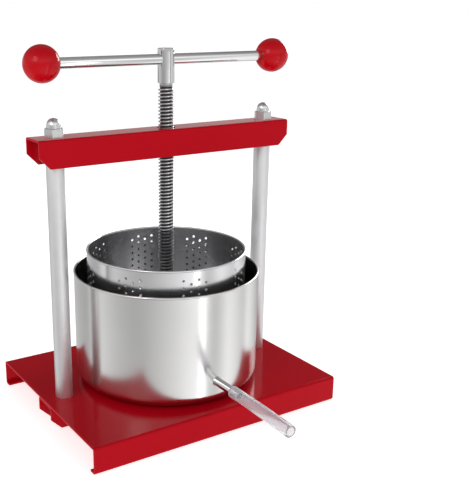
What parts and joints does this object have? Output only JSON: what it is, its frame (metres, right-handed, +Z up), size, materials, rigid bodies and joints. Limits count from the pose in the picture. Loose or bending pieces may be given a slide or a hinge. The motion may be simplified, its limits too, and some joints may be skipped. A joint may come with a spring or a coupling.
{
  "type": "basket wine press",
  "caption": "Basket wine press: a screw with a tee handle pushes a disc down in a perforated steel basket inside a spouted bucket on a folded steel frame.",
  "frame": {"origin": "on the surface it stands on, on the axis of the screw, which is the middle of the base", "axes": "+Z up along the screw; X along the crossbeam; the spout points to -Y"},
  "size_m": [0.341, 0.3703, 0.4318],
  "materials": {
    "red_paint": "gloss red enamel over folded steel",
    "post_steel": "satin drawn bar",
    "nut_steel": "turned steel",
    "zinc_plate": "bright zinc",
    "screw_steel": "zinc plated, satin",
    "chrome_bar": "polished",
    "stainless_pot": "polished stainless",
    "stainless_basket": "polished stainless, perforated",
    "stainless_disc": "satin stainless",
    "red_knob": "gloss red moulded ball",
    "brass_insert": "turned brass",
    "clear_hose": "clear soft PVC"
  },
  "bodies": {
    "frame": {"base_tray": "red_paint", "lower_channel": "red_paint", "crossbeam": "red_paint", "press_nut": "nut_steel", "left_post": "post_steel", "left_acorn_nut": "zinc_plate", "left_lower_washer": "zinc_plate", "left_lower_nut": "zinc_plate", "right_post": "post_steel", "right_acorn_nut": "zinc_plate", "right_lower_washer": "zinc_plate", "right_lower_nut": "zinc_plate"},
    "press_plate": {"pressing_disc": "stainless_disc", "disc_socket": "stainless_disc", "set_screws": "zinc_plate"},
    "screw": {"press_screw": "screw_steel", "handle_bar": "chrome_bar", "left_knob": "red_knob", "right_knob": "red_knob", "left_knob_insert": "brass_insert", "right_knob_insert": "brass_insert"},
    "bucket": {"bucket": "stainless_pot", "bucket_floor": "stainless_pot", "spout": "stainless_pot", "drain_hose": "clear_hose"},
    "basket": {"basket": "stainless_basket"}
  },
  "joints": [
    {"name": "plate_travel", "type": "slide", "parent": "frame", "child": "press_plate", "axis": [0, 0, 1], "range_m": [-0.0341, 0.2121]},
    {"name": "screw_turn", "type": "hinge", "parent": "press_plate", "child": "screw", "pos_m": [0, 0, 0.081], "axis": [0, 0, 1], "range_deg": [-3060, 19080]},
    {"name": "bucket_turn", "type": "hinge", "parent": "frame", "child": "bucket", "pos_m": [0, 0, 0.031], "axis": [0, 0, 1], "range_deg": [-80, 80]},
    {"name": "basket_lift", "type": "slide", "parent": "bucket", "child": "basket", "axis": [0, 0, 1], "range_m": [0, 0.11]}
  ],
  "couplings": [
    {"joint": "plate_travel", "follows": "screw_turn", "m_per_rad": 0.00063662}
  ]
}
